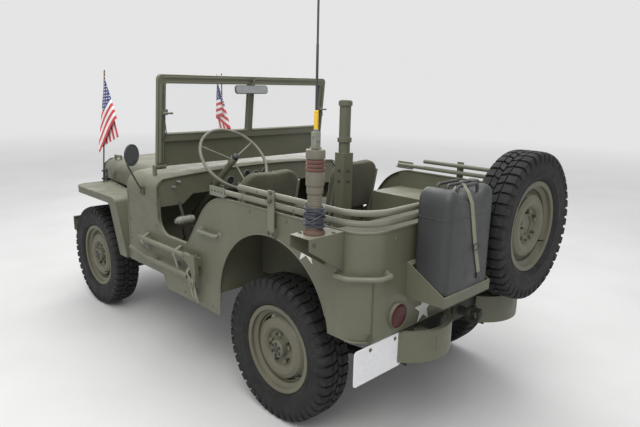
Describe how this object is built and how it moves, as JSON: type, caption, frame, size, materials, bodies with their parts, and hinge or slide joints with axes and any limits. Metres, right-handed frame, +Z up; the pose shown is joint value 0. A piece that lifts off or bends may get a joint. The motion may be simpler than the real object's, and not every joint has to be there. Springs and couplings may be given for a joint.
{
  "type": "quarter-ton open military utility car",
  "caption": "Open 4x4 army field car with fold-down windshield, slotted grille, flat fenders, rear spare, fuel can, side aerial and empty pedestal post.",
  "frame": {"origin": "on the ground under the tyres, on the car's centreline, midway between the axles", "axes": "+X forward, +Y to the car's left, +Z up"},
  "size_m": [3.346, 1.727, 2.62],
  "materials": {
    "olive_paint": "matt, dusty",
    "tyre_rubber": "worn",
    "canvas": "woven, matt",
    "glass": "clear",
    "dark_steel": "semi-matt",
    "black_plastic": "satin",
    "lamp_steel": "semi-matt",
    "aerial_steel": "satin",
    "flag_cloth": "thin woven cloth"
  },
  "bodies": {
    "chassis": {"aerial": "aerial_steel", "aerial_shelf": "olive_paint", "controls": "dark_steel", "dash_panel": "olive_paint", "exhaust": "olive_paint", "fender_left": "olive_paint", "fender_right": "olive_paint", "flag_staffs": "olive_paint", "flags": "flag_cloth", "frame": "olive_paint", "front_axle": "olive_paint", "front_bumper": "olive_paint", "fuel_can": "dark_steel", "grab_handles": "olive_paint", "grille": "olive_paint", "hand_tools": "olive_paint", "lamps": "lamp_steel", "leaf_springs": "olive_paint", "mirror": "olive_paint", "pedestal": "olive_paint", "power_unit": "olive_paint", "rear_axle": "olive_paint", "rear_bumperettes": "olive_paint", "rear_carriers": "olive_paint", "seat_cushions": "canvas", "seat_frames": "olive_paint", "spare_tyre": "tyre_rubber", "spare_wheel": "olive_paint", "steering_column": "olive_paint", "top_bows": "olive_paint", "tow_hook": "olive_paint", "tub": "olive_paint"},
    "wheel_front_left": {"wheel_fl": "olive_paint", "tyre_fl": "tyre_rubber"},
    "wheel_front_right": {"wheel_fr": "olive_paint", "tyre_fr": "tyre_rubber"},
    "wheel_rear_left": {"wheel_rl": "olive_paint", "tyre_rl": "tyre_rubber"},
    "wheel_rear_right": {"wheel_rr": "olive_paint", "tyre_rr": "tyre_rubber"},
    "steering_knuckle_left": {"knuckle_left": "olive_paint"},
    "steering_knuckle_right": {"knuckle_right": "olive_paint"},
    "track_rod": {"tie_rod": "olive_paint"},
    "hand_wheel": {"steering_wheel": "black_plastic"},
    "hood_lid": {"hood": "olive_paint"},
    "windshield": {"windshield_frame": "olive_paint", "windshield_glass": "glass"}
  },
  "joints": [
    {"name": "steer_left", "type": "hinge", "parent": "chassis", "child": "steering_knuckle_left", "pos_m": [1.016, 0.5, 0.362], "axis": [0, 0, 1], "range_deg": [-26, 26]},
    {"name": "steer_right", "type": "hinge", "parent": "chassis", "child": "steering_knuckle_right", "pos_m": [1.016, -0.5, 0.362], "axis": [0, 0, 1], "range_deg": [-26, 26]},
    {"name": "track_rod_pivot", "type": "hinge", "parent": "steering_knuckle_left", "child": "track_rod", "pos_m": [0.866, 0.5, 0.276], "axis": [0, 0, 1], "range_deg": [-26, 26]},
    {"name": "spin_front_left", "type": "hinge", "parent": "steering_knuckle_left", "child": "wheel_front_left", "pos_m": [1.016, 0.6225, 0.362], "axis": [0, 1, 0], "continuous": true},
    {"name": "spin_front_right", "type": "hinge", "parent": "steering_knuckle_right", "child": "wheel_front_right", "pos_m": [1.016, -0.6225, 0.362], "axis": [0, 1, 0], "continuous": true},
    {"name": "spin_rear_left", "type": "hinge", "parent": "chassis", "child": "wheel_rear_left", "pos_m": [-1.016, 0.6225, 0.362], "axis": [0, 1, 0], "continuous": true},
    {"name": "spin_rear_right", "type": "hinge", "parent": "chassis", "child": "wheel_rear_right", "pos_m": [-1.016, -0.6225, 0.362], "axis": [0, 1, 0], "continuous": true},
    {"name": "hand_wheel_turn", "type": "hinge", "parent": "chassis", "child": "hand_wheel", "pos_m": [-0.228, 0.348, 1.186], "axis": [-0.7373, 0, 0.6756], "range_deg": [-364, 364]},
    {"name": "hood_open", "type": "hinge", "parent": "chassis", "child": "hood_lid", "pos_m": [0.357, 0, 1.106], "axis": [0, 1, 0], "range_deg": [-100, 0]},
    {"name": "windshield_fold", "type": "hinge", "parent": "chassis", "child": "windshield", "pos_m": [0.112, 0, 1.122], "axis": [0, 1, 0], "range_deg": [0, 93]}
  ],
  "couplings": [
    {"joint": "steer_right", "follows": "steer_left", "ratio": 1},
    {"joint": "track_rod_pivot", "follows": "steer_left", "ratio": -1},
    {"joint": "hand_wheel_turn", "follows": "steer_left", "ratio": 14}
  ]
}
